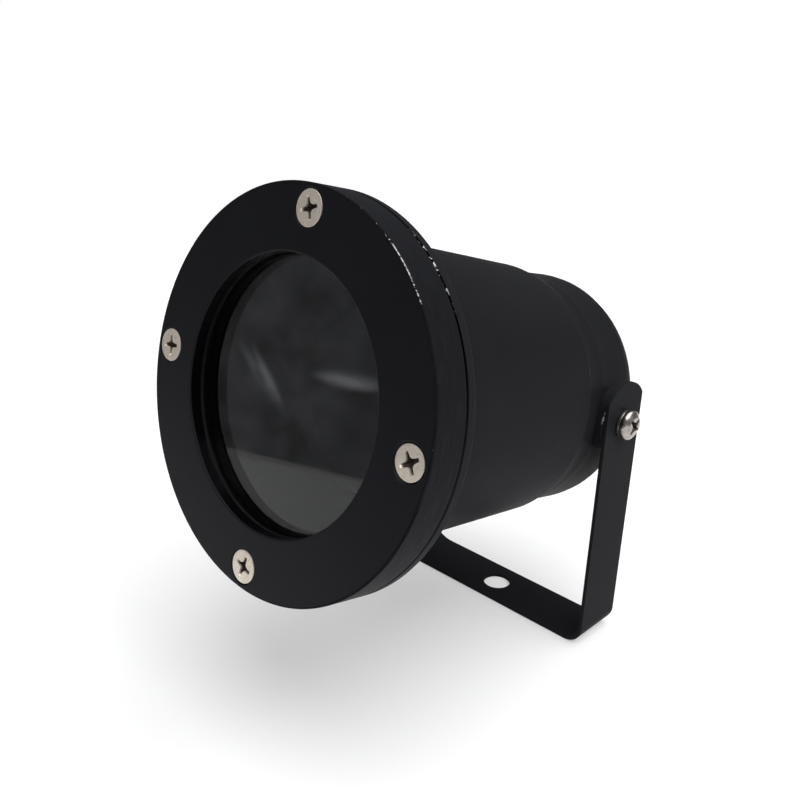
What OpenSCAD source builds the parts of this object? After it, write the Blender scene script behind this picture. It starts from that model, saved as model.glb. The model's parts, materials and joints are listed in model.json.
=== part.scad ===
// Underwater pond light: a sealed round lamp head on a U-shaped strip bracket.
// Millimetres, +Z up, the light shines towards -Y.
// The origin is the middle of the bracket's fixing hole, on the bracket's underside.

/* [Head] */
// Upward tilt of the beam at rest, in degrees
tilt = 12.4; // [0:0.1:30]
// Outer diameter of the front ring and of the housing flange
ring_d = 90; // [88:1:96]
// Diameter of the light opening in the front ring
open_d = 60.9; // [56:0.1:61.4]
// Distance from the pivot axis to the ring's front face
head_front = 87; // [86:0.5:94]
// Thickness of the front ring
ring_t = 9; // [8:0.5:12]
// Thickness of the housing flange behind the ring
flange_t = 2.6; // [2.4:0.1:3.4]
// Barrel diameter just behind the flange
barrel_front_d = 73.2; // [72:0.1:74]
// Barrel diameter at the step to the rear section
barrel_rear_d = 67.4; // [66:0.1:68]
// Diameter of the rear section
rear_d = 64.3; // [63:0.1:65]
// Distance from the pivot axis to the step, towards the front
step_s = 14.8; // [12:0.2:16]
// Distance from the pivot axis to the rear face, towards the back
rear_s = 14.8; // [14:0.2:16]

/* [Glass] */
// Thickness of the toughened glass disc
glass_t = 3; // [3:0.5:4]
// Diameter of the glass disc
glass_d = 68.6; // [68:0.1:68.8]
// Thickness of the rubber gasket in front of the glass
front_gasket_t = 1; // [0.8:0.1:1.2]
// Thickness of the rubber gasket behind the glass
rear_gasket_t = 2; // [1.5:0.1:2]

/* [Screws] */
// Nominal thread diameter of the ring screws and the pivot screws
screw_d = 4; // [4:0.5:4]
// Head diameter of the countersunk ring screws
csk_head_d = 7.8; // [7.2:0.1:8]
// Diameter of the circle that the ring screws stand on
screw_circle_d = 79.8; // [79:0.1:81]
// Angle by which the ring's screws are turned from the pivot line
screw_turn = -2.2; // [-4:0.1:4]
// Head diameter of the pan-head pivot screws
pan_head_d = 7.9; // [7.4:0.1:8]

/* [Bracket] */
// Height of the pivot axis above the bracket's underside
pivot_h = 65.2; // [62:0.1:70]
// Width across the outside of the bracket's arms
bracket_w = 71.4; // [71.4:0.1:73]
// Width of the strip that the bracket is bent from
strip_w = 16; // [14:0.5:18]
// Thickness of the strip
strip_t = 1; // [0.9:0.1:1.4]
// Inside radius of the bend at the +X arm
bend_r = 4.5; // [3:0.5:8]
// Inside radius of the looser bend at the -X arm
bend_left_r = 9; // [3:0.5:12]
// Height of an arm's top above the pivot axis
arm_top_h = 11; // [10:0.5:12]
// Radius of the arched top of an arm
arm_top_r = 9.6; // [8.6:0.1:12]
// Diameter of the fixing hole in the middle of the base
base_hole_d = 8; // [5:0.1:9]

/* [Cable gland] */
// Nominal thread diameter of the gland
gland_thread_d = 16; // [16:1:16]
// Width across the flats of the gland's hexagons
gland_af = 20; // [19:0.5:21]
// Diameter of the cable that the gland's insert grips
cable_d = 6.5; // [5:0.5:7]

/* [Lamp] */
// Diameter of the lamp's rim
lamp_d = 49.8; // [49:0.1:50]
// Distance from the pivot axis to the lamp's rim face
lamp_front = 58; // [56:0.5:60]
// Centre distance of the lamp's two pins
pin_pitch = 5.33; // [5.33:0.01:5.33]

/* [Hidden] */
$fn = 96;
eps = 0.01;

// Head, measured along the beam axis from the pivot
ring_r = ring_d / 2;
open_r = open_d / 2;
seam_s = head_front - ring_t;
flange_back_s = seam_s - flange_t;
edge_r = 0.5;
wall_t = 3.5;
rear_inner_s = -rear_s + wall_t;
rear_r = rear_d / 2;
barrel_front_r = barrel_front_d / 2;
barrel_rear_r = barrel_rear_d / 2;
rear_edge_r = 8.8;
step_l = 7.2;
bore_front_r = 31;
bore_rear_r = rear_r - wall_t;

// Glass and its seat
glass_back_s = seam_s + rear_gasket_t;
glass_front_s = glass_back_s + glass_t;
ring_seat_s = glass_front_s + front_gasket_t;
seat_r = glass_d / 2 + 0.3;
gasket_out_r = seat_r - 0.1;
front_gasket_in_r = open_r + 0.2;
rear_gasket_in_r = 30.8;

// Screws
screw_r = screw_d / 2;
screw_circle_r = screw_circle_d / 2;
thread_clear = 0.05;
ring_hole_r = screw_r + 0.25;
csk_gap = 0.25;
csk_depth = csk_head_d / 2 - screw_r;
ring_screw_l = 12;
pan_head_h = 2.5;
pivot_screw_l = 10;
washer_t = 1;
washer_out_r = 3.6;
washer_in_r = 2.15;
washer_gap = 0.7;

// Bracket and pivot
arm_out_x = bracket_w / 2;
arm_in_x = arm_out_x - strip_t;
pivot_hole_r = screw_r + 0.08;
boss_r = 8.5;
boss_face_x = arm_in_x - 0.12;
boss_inner_x = 23.5;
pivot_hole_depth = boss_face_x - 26.3;

// Gland, along the beam axis behind the rear face
gland_r = gland_thread_d / 2;
gland_af_r = gland_af / 2;
o_ring_t = 1.5;
gland_hex_l = 4.5;
gland_front_l = 6.5;
collet_r = 6.8;
collet_l = 8;
dome_nut_l = 17;
lock_nut_t = 4;
gland_hex_s = -rear_s - o_ring_t - gland_hex_l;
dome_start_s = gland_hex_s - 0.6;
dome_end_s = dome_start_s - dome_nut_l;

// Lamp holder and its bracket
post_x = 17;
post_r = 3.5;
plate_s = 4;
plate_t = 1;
m3_r = 1.5;
holder_l = 9;
holder_back_s = plate_s + plate_t;
holder_front_s = holder_back_s + holder_l;
lead_r = 0.9;
lead_s = holder_back_s + 4.5;
lead_bend = 4;
block_u = 16;
block_top_s = 1;

// Lamp
lamp_r = lamp_d / 2;
lamp_base_s = holder_front_s + 0.5;
case_l = 11.5;
case_r = 10.5;
sink_back_s = lamp_base_s + case_l - 2;
board_s = lamp_front - 9;
lens_back_s = board_s + 2.4;
emitter_circle_r = 8.5;
pin_r = 0.75;
pin_l = 7;

// Points of an arc round c, from angle a to angle b
function arc(c, r, a, b, n = 8) =
    [for (i = [0:n]) c + r * [cos(a + (b - a) * i / n), sin(a + (b - a) * i / n)]];

// Puts a child, drawn with Z along the beam, on the tilted head
module on_head() {
    translate([0, 0, pivot_h]) rotate([90 - tilt, 0, 0]) children();
}

// A body of revolution about the beam, from [radius, distance] points
module lathe(points) {
    rotate_extrude($fn = 128) polygon(points);
}

// Flat ring from distance s0 to s1
module flat_ring(r_in, r_out, s0, s1) {
    translate([0, 0, s0]) difference() {
        cylinder(r = r_out, h = s1 - s0);
        translate([0, 0, -1]) cylinder(r = r_in, h = s1 - s0 + 2);
    }
}

// Places a child at each ring screw
module at_ring_screws() {
    for (i = [0:3]) {
        a = 90 + screw_turn + 90 * i;
        translate([screw_circle_r * cos(a), screw_circle_r * sin(a), 0]) rotate(a) children();
    }
}

// Cross recess for a Phillips driver, cut down from z = 0
module cross_recess(l, w, depth) {
    for (a = [0, 90])
        rotate(a) translate([-l / 2, -w / 2, -depth]) cube([l, w, depth + 1]);
    translate([0, 0, -depth - 0.5]) cylinder(r1 = w / 2, r2 = w, h = depth + 0.5, $fn = 24);
}

// --- bracket and pivot -------------------------------------------------

// Area of a U seen from the front: half width x, bottom at z, a radius for each lower corner
module u_area(x, z, left_r, right_r) {
    h = pivot_h + 2 * strip_w;
    translate([-x, z + left_r]) square([x + 1, h]);
    translate([-1, z + right_r]) square([x + 1, h]);
    translate([-x + left_r, z]) square([2 * x - left_r - right_r, max(left_r, right_r) + 1]);
    translate([-x + left_r, z + left_r]) circle(r = left_r);
    translate([x - right_r, z + right_r]) circle(r = right_r);
}

// Outline of the bent strip seen from the front
module strip_outline() {
    difference() {
        u_area(arm_out_x, 0, bend_left_r + strip_t, bend_r + strip_t);
        u_area(arm_in_x, strip_t, bend_left_r, bend_r);
    }
}

// Side view of an arm: a strip with an arched top, the pivot at the origin
module arm_side() {
    intersection() {
        translate([0, arm_top_h - arm_top_r]) circle(r = arm_top_r);
        translate([-strip_w / 2, 0]) square([strip_w, 2 * strip_w]);
    }
    translate([-strip_w / 2, -pivot_h - 1]) square([strip_w, pivot_h + 1 + eps]);
}

module mounting_bracket() {
    color("#1b1c1e") difference() {
        intersection() {
            translate([0, strip_w / 2, 0]) rotate([90, 0, 0])
                linear_extrude(strip_w) strip_outline();
            translate([-arm_out_x - 1, 0, pivot_h]) rotate([90, 0, 90])
                linear_extrude(2 * arm_out_x + 2) arm_side();
        }
        translate([0, 0, -1]) cylinder(d = base_hole_d, h = strip_t + 2);
        translate([-arm_out_x - 1, 0, pivot_h]) rotate([0, 90, 0])
            cylinder(r = pivot_hole_r, h = 2 * arm_out_x + 2);
    }
}

// Pan-head screw pointing down -Z, its head standing on z = 0
module pan_screw(r, l, head_r, head_h) {
    difference() {
        union() {
            rotate_extrude() polygon(concat(
                [[0, 0], [head_r, 0], [head_r, head_h * 0.35]],
                arc([head_r - head_h * 0.65, head_h * 0.35], head_h * 0.65, 0, 70, 6),
                [[0, head_h]]));
            translate([0, 0, -l]) cylinder(r = r, h = l + eps);
        }
        translate([0, 0, head_h]) cross_recess(head_r * 1.15, head_r * 0.25, head_h * 0.6);
    }
}

// side = 1 is the +X arm, side = -1 the -X arm
module pivot_screw(side) {
    color("#c9c4bb") translate([side * (arm_out_x + washer_t), 0, pivot_h])
        rotate([0, side * 90, 0])
            pan_screw(screw_r, pivot_screw_l, pan_head_d / 2, pan_head_h);
}

// Split lock washer between the arm and the screw's head
module spring_washer(side) {
    color("#b4b0a8") translate([side * arm_out_x, 0, pivot_h]) rotate([0, side * 90, 0])
        difference() {
            flat_ring(washer_in_r, washer_out_r, 0, washer_t);
            rotate(20) translate([washer_in_r - 1, -washer_gap / 2, -1])
                cube([washer_out_r, washer_gap, washer_t + 2]);
        }
}

// --- housing and front -------------------------------------------------

module housing_shell() {
    inner_edge_r = rear_edge_r - wall_t;
    lathe(concat(
        [[0, -rear_s]],
        arc([rear_r - rear_edge_r, -rear_s + rear_edge_r], rear_edge_r, -90, 0),
        [[rear_r, step_s - step_l], [barrel_rear_r, step_s]],
        [[barrel_front_r, flange_back_s], [ring_r - edge_r, flange_back_s]],
        arc([ring_r - edge_r, flange_back_s + edge_r], edge_r, -90, 0, 4),
        [[ring_r, seam_s - 0.3], [ring_r - 0.3, seam_s]],
        [[bore_front_r, seam_s]],
        [[bore_rear_r, step_s]],
        arc([bore_rear_r - inner_edge_r, rear_inner_s + inner_edge_r], inner_edge_r, 0, -90, 6),
        [[0, rear_inner_s]]));
}

module housing() {
    color("#1a1b1d") on_head() difference() {
        union() {
            housing_shell();
            // pivot bosses, through the side walls
            for (side = [-1, 1]) rotate([0, side * 90, 0]) translate([0, 0, boss_inner_x])
                cylinder(r = boss_r, h = boss_face_x - boss_inner_x);
            // posts for the lamp holder's bracket
            for (side = [-1, 1]) translate([side * post_x, 0, rear_inner_s - 1])
                cylinder(r = post_r, h = plate_s - rear_inner_s + 1);
        }
        for (side = [-1, 1]) rotate([0, side * 90, 0])
            translate([0, 0, boss_face_x - pivot_hole_depth])
                cylinder(r = screw_r + thread_clear, h = pivot_hole_depth + 1);
        for (side = [-1, 1]) translate([side * post_x, 0, plate_s - 6])
            cylinder(r = m3_r + thread_clear, h = 7);
        at_ring_screws() translate([0, 0, flange_back_s - 1])
            cylinder(r = screw_r + thread_clear, h = flange_t + 2);
        translate([0, 0, -rear_s - 1]) cylinder(r = gland_r + thread_clear, h = wall_t + 2);
    }
}

module front_ring() {
    color("#1c1d20") on_head() difference() {
        lathe(concat(
            [[ring_r - 0.3, seam_s + 0.02], [ring_r, seam_s + 0.32]],
            arc([ring_r - edge_r, head_front - edge_r], edge_r, 0, 90, 4),
            arc([open_r + edge_r, head_front - edge_r], edge_r, 90, 180, 4),
            [[open_r, ring_seat_s], [seat_r, ring_seat_s]],
            [[seat_r, seam_s + 0.02]]));
        at_ring_screws() {
            translate([0, 0, seam_s - 1]) cylinder(r = ring_hole_r, h = ring_t + 2);
            translate([0, 0, head_front - csk_depth - csk_gap])
                cylinder(r1 = screw_r, r2 = csk_head_d / 2 + csk_gap + 0.01,
                         h = csk_depth + csk_gap + 0.01);
        }
    }
}

// Four countersunk screws, flush with the ring's face
module ring_screws() {
    color("#d0cbc2") on_head() at_ring_screws() translate([0, 0, head_front]) difference() {
        union() {
            translate([0, 0, -csk_depth - 0.2])
                cylinder(r1 = screw_r, r2 = csk_head_d / 2, h = csk_depth);
            translate([0, 0, -0.2 - eps]) cylinder(r = csk_head_d / 2, h = 0.2 + eps);
            translate([0, 0, -ring_screw_l]) cylinder(r = screw_r, h = ring_screw_l - csk_depth);
        }
        cross_recess(4.4, 0.95, 1.5);
    }
}

module front_gasket() {
    color("#101010") on_head()
        flat_ring(front_gasket_in_r, gasket_out_r, glass_front_s, ring_seat_s);
}

module lens_glass() {
    chamfer = 0.4;
    r = glass_d / 2;
    color([0.75, 0.8, 0.82, 0.35]) on_head() lathe([
        [0, glass_back_s], [r - chamfer, glass_back_s], [r, glass_back_s + chamfer],
        [r, glass_front_s - chamfer], [r - chamfer, glass_front_s], [0, glass_front_s]]);
}

module rear_gasket() {
    color("#101010") on_head() flat_ring(rear_gasket_in_r, gasket_out_r, seam_s, glass_back_s);
}

// --- cable gland -------------------------------------------------------

module hexagon(af_r, s0, s1) {
    translate([0, 0, s0]) cylinder(r = af_r / cos(30), h = s1 - s0, $fn = 6);
}

module gland_body() {
    color("#202124") on_head() difference() {
        union() {
            hexagon(gland_af_r, gland_hex_s, gland_hex_s + gland_hex_l);
            translate([0, 0, gland_hex_s]) cylinder(r = gland_r, h = wall_t + gland_hex_l
                + o_ring_t + gland_front_l);
            translate([0, 0, gland_hex_s - collet_l]) cylinder(r = collet_r, h = collet_l + 1);
        }
        translate([0, 0, gland_hex_s - collet_l - 1])
            cylinder(r = 5.2, h = collet_l + gland_hex_l + 1);
        translate([0, 0, gland_hex_s]) cylinder(r = cable_d / 2 + 0.5, h = 40);
        // slots that let the collet close on the insert
        for (i = [0:5]) rotate(60 * i + 10) translate([-0.4, 3, gland_hex_s - collet_l - 1])
            cube([0.8, 6, 5]);
    }
}

module gland_o_ring() {
    color("#0d0d0d") on_head()
        flat_ring(gland_r + 0.1, gland_af_r - 0.3, -rear_s - o_ring_t, -rear_s);
}

module gland_insert() {
    color("#141414") on_head() flat_ring(cable_d / 2, 5.1,
        gland_hex_s - collet_l - 2, gland_hex_s + gland_hex_l - 1);
}

module gland_dome_nut() {
    bore_end_s = gland_hex_s - collet_l - 2.2;
    mouth_r = cable_d / 2 + 0.6;
    dome_r = gland_af_r - 2.5;
    color("#202124") on_head() difference() {
        union() {
            hexagon(gland_af_r, dome_start_s - 9, dome_start_s);
            lathe(concat([[0, dome_start_s - 8], [0, dome_end_s]],
                [[dome_r - 2, dome_end_s]],
                arc([dome_r - 2, dome_end_s + 4], 4, -90, 0, 6),
                [[gland_af_r - 0.4, dome_start_s - 8]]));
        }
        translate([0, 0, bore_end_s]) cylinder(r = collet_r + 0.1, h = dome_nut_l);
        translate([0, 0, dome_end_s - 1]) cylinder(r = mouth_r, h = dome_nut_l);
    }
}

module gland_lock_nut() {
    color("#202124") on_head() difference() {
        hexagon(gland_af_r, rear_inner_s, rear_inner_s + lock_nut_t);
        translate([0, 0, rear_inner_s - 1])
            cylinder(r = gland_r + thread_clear, h = lock_nut_t + 2);
    }
}

// --- lamp holder and wiring --------------------------------------------

module lamp_holder() {
    w = 18;
    d = 10;
    color("#e6e0d2") on_head() difference() {
        translate([-w / 2, -d / 2, holder_back_s]) cube([w, d, holder_l]);
        for (side = [-1, 1]) {
            translate([side * pin_pitch / 2, 0, holder_back_s + 1.5])
                cylinder(r = 1.7, h = holder_l - 3);
            translate([side * pin_pitch / 2, 0, holder_front_s - 3])
                cylinder(r = pin_r + 0.25, h = 4);
            translate([side * pin_pitch / 2, 0, lead_s]) rotate([-90, 0, 0])
                cylinder(r = lead_r + 0.05, h = d);
            translate([side * 6.8, 0, holder_back_s - 1]) cylinder(r = 1.1, h = holder_l + 2);
        }
    }
}

// Spring sockets that take the lamp's pins
module holder_contacts() {
    color("#c9a24a") on_head() for (side = [-1, 1])
        translate([side * pin_pitch / 2, 0, 0])
            flat_ring(pin_r + 0.03, 1.4, lead_s + 1, holder_front_s - 1.8);
}

module holder_bracket() {
    l = 2 * post_x + 9;
    w = 11;
    color("#aab0b5") on_head() difference() {
        translate([-l / 2, -w / 2, plate_s]) cube([l, w, plate_t]);
        for (side = [-1, 1]) {
            translate([side * post_x, 0, plate_s - 1]) cylinder(r = m3_r + 0.2, h = plate_t + 2);
            translate([side * 6.8, 0, plate_s - 1]) cylinder(r = 1.1, h = plate_t + 2);
        }
    }
}

// Two screws into the posts and two rivets through the holder
module holder_screws() {
    color("#b9b9b4") on_head() for (side = [-1, 1]) {
        translate([side * post_x, 0, plate_s + plate_t]) pan_screw(m3_r, 5.5, 2.8, 1.9);
        translate([side * 6.8, 0, plate_s - 0.8])
            cylinder(r = 1.05, h = holder_front_s - plate_s + 1.2);
        translate([side * 6.8, 0, plate_s - 0.8]) cylinder(r = 1.9, h = 0.8);
        translate([side * 6.8, 0, holder_front_s]) cylinder(r = 1.6, h = 0.4);
    }
}

// Two insulated leads from the holder to the terminal block
module holder_leads() {
    color("#d8d4cc") on_head() for (side = [-1, 1]) translate([side * pin_pitch / 2, 0, 0]) {
        translate([0, 2, lead_s]) rotate([-90, 0, 0])
            cylinder(r = lead_r, h = block_u - lead_bend - 2 + eps, $fn = 24);
        translate([0, block_u - lead_bend, lead_s - lead_bend]) rotate([0, 90, 0])
            rotate([0, 0, 90]) rotate_extrude(angle = 90) translate([lead_bend, 0])
                circle(r = lead_r, $fn = 24);
        translate([0, block_u, block_top_s - 3])
            cylinder(r = lead_r, h = lead_s - lead_bend - block_top_s + 3 + eps, $fn = 24);
    }
}

module terminal_block() {
    h = block_top_s - rear_inner_s;
    color("#e9e4d8") on_head() difference() {
        translate([-8, block_u - 4, rear_inner_s]) cube([16, 8, h]);
        for (side = [-1, 1]) {
            translate([side * pin_pitch / 2, block_u, rear_inner_s + 0.8])
                cylinder(r = 2, h = h);
            for (z = [2.6, 7.4])
                translate([side * pin_pitch / 2, block_u, rear_inner_s + z])
                    rotate([-90, 0, 0]) cylinder(r = 1.5, h = 8);
        }
        translate([0, block_u, rear_inner_s + h / 2]) rotate([-90, 0, 0])
            cylinder(r = 0.5, h = 5);
    }
}

// Brass tubes inside the block, with their clamping screws
module terminal_clamps() {
    h = block_top_s - rear_inner_s - 1.2;
    color("#c8a75a") on_head() for (side = [-1, 1])
        translate([side * pin_pitch / 2, block_u, rear_inner_s + 1]) {
            difference() {
                cylinder(r = 1.9, h = h);
                translate([0, 0, -1]) cylinder(r = 1.1, h = h + 2);
            }
            for (z = [1.6, 6.4]) translate([0, 1.3, z]) rotate([-90, 0, 0])
                cylinder(r = 1.2, h = 2);
        }
}

// --- lamp --------------------------------------------------------------

module lamp_pins() {
    color("#cfcac0") on_head() for (side = [-1, 1])
        translate([side * pin_pitch / 2, 0, lamp_base_s - pin_l])
            cylinder(r = pin_r, h = pin_l + 1.5);
}

module lamp_driver_case() {
    color("#e8e6e0") on_head() difference() {
        intersection() {
            translate([0, 0, lamp_base_s]) cylinder(r = case_r, h = case_l);
            translate([-case_r, -7, lamp_base_s]) cube([2 * case_r, 14, case_l]);
        }
        for (side = [-1, 1]) translate([side * pin_pitch / 2, 0, lamp_base_s - 1])
            cylinder(r = pin_r + 0.02, h = 2.6);
    }
}

// Aluminium cup with a stack of round cooling fins
module lamp_heat_sink() {
    fins = 5;
    cup_t = 1.6;
    fin_pitch = 4;
    groove = 2.2;
    fin_s = sink_back_s + 4;
    rim_s = lamp_front - 2;
    function cone_r(s) = case_r + 2.5 + (lamp_r - case_r - 4) * (s - sink_back_s) / 32;
    color("#8f9397") on_head() lathe(concat(
        [[0, sink_back_s + 2.2], [case_r + 0.4, sink_back_s + 2.2]],
        [[case_r + 0.4, sink_back_s], [cone_r(sink_back_s), sink_back_s]],
        [for (i = [0:fins - 1], k = [0:3]) let (s = fin_s + fin_pitch * i)
            [cone_r(s) - (k == 1 || k == 2 ? 3.5 : 0), s + (k > 1 ? groove : 0)]],
        [[lamp_r, board_s - 2], [lamp_r, rim_s], [lamp_r - cup_t, rim_s]],
        [[lamp_r - cup_t, board_s - 0.2], [0, board_s - 0.2]]));
}

module lamp_led_board() {
    color("#f2f2ee") on_head() translate([0, 0, board_s - 0.2])
        cylinder(r = lamp_r - 2, h = 1.2);
}

module at_emitters() {
    for (a = [90, 210, 330]) rotate(a) translate([emitter_circle_r, 0, 0]) children();
}

module lamp_emitters() {
    color("#f0d860") on_head() at_emitters() translate([0, 0, board_s + 1]) {
        translate([-1.7, -1.7, 0]) cube([3.4, 3.4, 0.7]);
        translate([0, 0, 0.65]) cylinder(r1 = 1.3, r2 = 0.7, h = 0.6);
    }
}

module lamp_lens() {
    color([0.85, 0.88, 0.9, 0.6]) on_head() difference() {
        union() {
            translate([0, 0, lamp_front - 2.8]) cylinder(r = lamp_r - 2.4, h = 1.6);
            at_emitters() translate([0, 0, lens_back_s])
                cylinder(r1 = 3.4, r2 = 7, h = lamp_front - 2.7 - lens_back_s);
        }
        at_emitters() translate([0, 0, lens_back_s - 1]) cylinder(r = 1.8, h = 2);
    }
}

module lamp_bezel() {
    color("#17181a") on_head() lathe([
        [lamp_r - 4.5, lamp_front - 1.1], [lamp_r - 2.2, lamp_front - 1.1],
        [lamp_r - 2.2, lamp_front - 1.9], [lamp_r, lamp_front - 1.9],
        [lamp_r, lamp_front - 0.5], [lamp_r - 0.5, lamp_front],
        [lamp_r - 4, lamp_front], [lamp_r - 4.5, lamp_front - 0.5]]);
}

mounting_bracket();
pivot_screw(-1);  // pivot_screw_left
pivot_screw(1);  // pivot_screw_right
spring_washer(-1);  // spring_washer_left
spring_washer(1);  // spring_washer_right
housing();
front_ring();
ring_screws();
front_gasket();
lens_glass();
rear_gasket();
gland_body();
gland_o_ring();
gland_insert();
gland_dome_nut();
gland_lock_nut();
lamp_holder();
holder_contacts();
holder_bracket();
holder_screws();
holder_leads();
terminal_block();
terminal_clamps();
lamp_pins();
lamp_driver_case();
lamp_heat_sink();
lamp_led_board();
lamp_emitters();
lamp_lens();
lamp_bezel();
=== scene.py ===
"""Looks of the underwater pond light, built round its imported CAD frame."""

import json
import math

import bmesh
import bpy
from mathutils import Matrix, Vector

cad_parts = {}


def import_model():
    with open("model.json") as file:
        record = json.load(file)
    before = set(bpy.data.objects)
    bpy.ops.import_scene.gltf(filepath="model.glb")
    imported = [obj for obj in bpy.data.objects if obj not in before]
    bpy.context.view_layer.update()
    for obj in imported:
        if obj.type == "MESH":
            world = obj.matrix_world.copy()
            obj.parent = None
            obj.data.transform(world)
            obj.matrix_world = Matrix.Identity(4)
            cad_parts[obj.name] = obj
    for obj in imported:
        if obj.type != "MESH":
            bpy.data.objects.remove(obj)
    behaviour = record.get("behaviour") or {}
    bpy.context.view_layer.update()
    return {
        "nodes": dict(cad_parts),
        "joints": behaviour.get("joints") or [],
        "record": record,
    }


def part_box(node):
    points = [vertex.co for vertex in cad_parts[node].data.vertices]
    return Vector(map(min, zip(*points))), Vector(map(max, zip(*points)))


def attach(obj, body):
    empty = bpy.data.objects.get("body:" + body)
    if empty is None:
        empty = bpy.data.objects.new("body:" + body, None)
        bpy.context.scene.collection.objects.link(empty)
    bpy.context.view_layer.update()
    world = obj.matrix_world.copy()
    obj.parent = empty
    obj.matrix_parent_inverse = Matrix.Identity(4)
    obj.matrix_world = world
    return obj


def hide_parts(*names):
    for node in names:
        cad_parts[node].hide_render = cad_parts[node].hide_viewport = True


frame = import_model()

MM = 0.001
RECORD = frame["record"]
JOINT = frame["joints"][0]
MOUNTS = {m["name"]: m for m in RECORD["mounts"]}

# The head's own axes: x along the pivot, u across the beam, s along the beam from the pivot
PIVOT = Vector(JOINT["pos_m"])
BEAM = -Vector(MOUNTS["cable_inlet"]["axis"]).normalized()
ACROSS = Vector((1, 0, 0))
HEAD = Matrix.Translation(PIVOT) @ Matrix((ACROSS, BEAM.cross(ACROSS), BEAM)).transposed().to_4x4()


def extent(node):
    """Lowest and highest corner of a CAD node along the head's axes, in mm."""
    inverse = HEAD.inverted()
    points = [inverse @ v.co / MM for v in frame["nodes"][node].data.vertices]
    low = Vector([min(p[i] for p in points) for i in range(3)])
    high = Vector([max(p[i] for p in points) for i in range(3)])
    return low, high


# --- sizes, in mm, along the head's axes -----------------------------------

RING_HIGH = extent("front_ring")[1]
GLASS_LOW, GLASS_HIGH = extent("lens_glass")
HOUSING_LOW, HOUSING_HIGH = extent("housing")
BRACKET_LOW, BRACKET_HIGH = [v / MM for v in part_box("mounting_bracket")]

RING_R = RING_HIGH.x
FACE_S = RING_HIGH.z
SEAM_S = HOUSING_HIGH.z
FLANGE_T = 2.6
FLANGE_S = SEAM_S - FLANGE_T
OPEN_R = 30.45
SEAT_R = 34.6
REAR_GASKET_R = 30.9
BORE_FRONT_R = 31.0
BORE_REAR_R = 28.65
BARREL_FRONT_R = 36.6
BARREL_REAR_R = 33.7
REAR_R = 32.15
STEP_S = 14.8
STEP_L = 7.2
REAR_EDGE_R = 8.8
WALL_T = 3.5
REAR_S = HOUSING_LOW.z
REAR_INNER_S = REAR_S + WALL_T
BOSS_R = 8.5
BOSS_X = BRACKET_HIGH.x - 1.12

SCREW_CIRCLE_R = 39.9
SCREW_TURN = math.radians(-2.2)
SCREW_HEAD_R = 3.9
SCREW_R = 2.0
PAN_HEAD_R = 3.95
PAN_HEAD_H = 2.5
WASHER_T = 1.0

ARM_OUT_X = BRACKET_HIGH.x
STRIP_T = 1.0
STRIP_W = BRACKET_HIGH.y - BRACKET_LOW.y
BEND_R = 4.5
BEND_LEFT_R = 9.0
ARM_TOP_R = 9.6
ARM_TOP_H = BRACKET_HIGH.z - PIVOT.z / MM
BASE_HOLE_R = MOUNTS["base_hole"]["dims"]["r_mm"]
PIVOT_H = PIVOT.z / MM
HOLE_R = 2.1

HEX_HALF = 10.0
HEX_T = 4.5
GLAND_SEAL_T = 1.5
CABLE_R = 3.75
STEM_R = 7.9
COLLET_INNER_R = 5.2
DOME_R = 9.6
DOME_HOLE_R = 3.85
NUT_BORE_R = 6.9

# --- colours and gloss -------------------------------------------------------

RING_BLACK = (0.0078, 0.0080, 0.0094)
HOUSING_BLACK = (0.0115, 0.0117, 0.0133)
BRACKET_BLACK = (0.0138, 0.0141, 0.0160)
# Painted shade in the seam between the ring and the flange.
SEAM_SHADE_BLACK = (0.001, 0.001, 0.0012)
# Painted shade on the wall of the ring's opening.
BORE_SHADE_BLACK = (0.0012, 0.0012, 0.0018)
# Painted shade on the housing's inner wall.
INSIDE_SHADE_BLACK = (0.0012, 0.0012, 0.0014)
DUST_GREY = (0.35, 0.35, 0.35)
# Bare metal of worn edges; on the ring's front edge it is partly a painted highlight.
BARE_METAL_AND_HIGHLIGHT = (0.42, 0.42, 0.42)
RECESS_BROWN = (0.1, 0.072, 0.055)
BRASS = (0.7, 0.52, 0.24)
# Painted shade: the lamp's lens and bezel, near-black so the inside reads dark.
LAMP_SHADE_BLACK = (0.0005, 0.0005, 0.0006)
GLASS_TINT = (0.9, 0.93, 0.92, 1.0)
COAT_SHEEN = 0.12
HOUSING_SHEEN = 0.02
BRACKET_SHEEN = 0.014
SIDE_SHEEN = 0.03
SHEEN_TINT = (0.9, 0.92, 1.0, 1.0)
ROOM_LIGHT = 0.20


# --- mesh helpers ----------------------------------------------------------

def soften(corners, closed=True, steps=5):
    """Rounds an outline. Each corner is (x, y, fillet radius); a radius of 0 stays sharp."""
    out = []
    for i, (x, y, radius) in enumerate(corners):
        if radius == 0 or (not closed and i in (0, len(corners) - 1)):
            out.append((x, y))
            continue
        corner = Vector((x, y))
        to_last = (Vector(corners[i - 1][:2]) - corner).normalized()
        to_next = (Vector(corners[(i + 1) % len(corners)][:2]) - corner).normalized()
        half = math.acos(max(-1, min(1, to_last.dot(to_next)))) / 2
        centre = corner + (to_last + to_next).normalized() * radius / math.sin(half)
        start = corner + to_last * radius / math.tan(half) - centre
        end = corner + to_next * radius / math.tan(half) - centre
        first = math.atan2(start.y, start.x)
        sweep = (math.atan2(end.y, end.x) - first + math.pi) % math.tau - math.pi
        for k in range(steps + 1):
            angle = first + sweep * k / steps
            out.append((centre.x + radius * math.cos(angle), centre.y + radius * math.sin(angle)))
    return out


def make_object(name, data):
    obj = bpy.data.objects.new(name, data)
    bpy.context.scene.collection.objects.link(obj)
    return obj


def from_bmesh(name, bm):
    bmesh.ops.remove_doubles(bm, verts=bm.verts, dist=1e-7)
    bmesh.ops.recalc_face_normals(bm, faces=bm.faces)
    mesh = bpy.data.meshes.new(name)
    bm.to_mesh(mesh)
    bm.free()
    return make_object(name, mesh)


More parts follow.
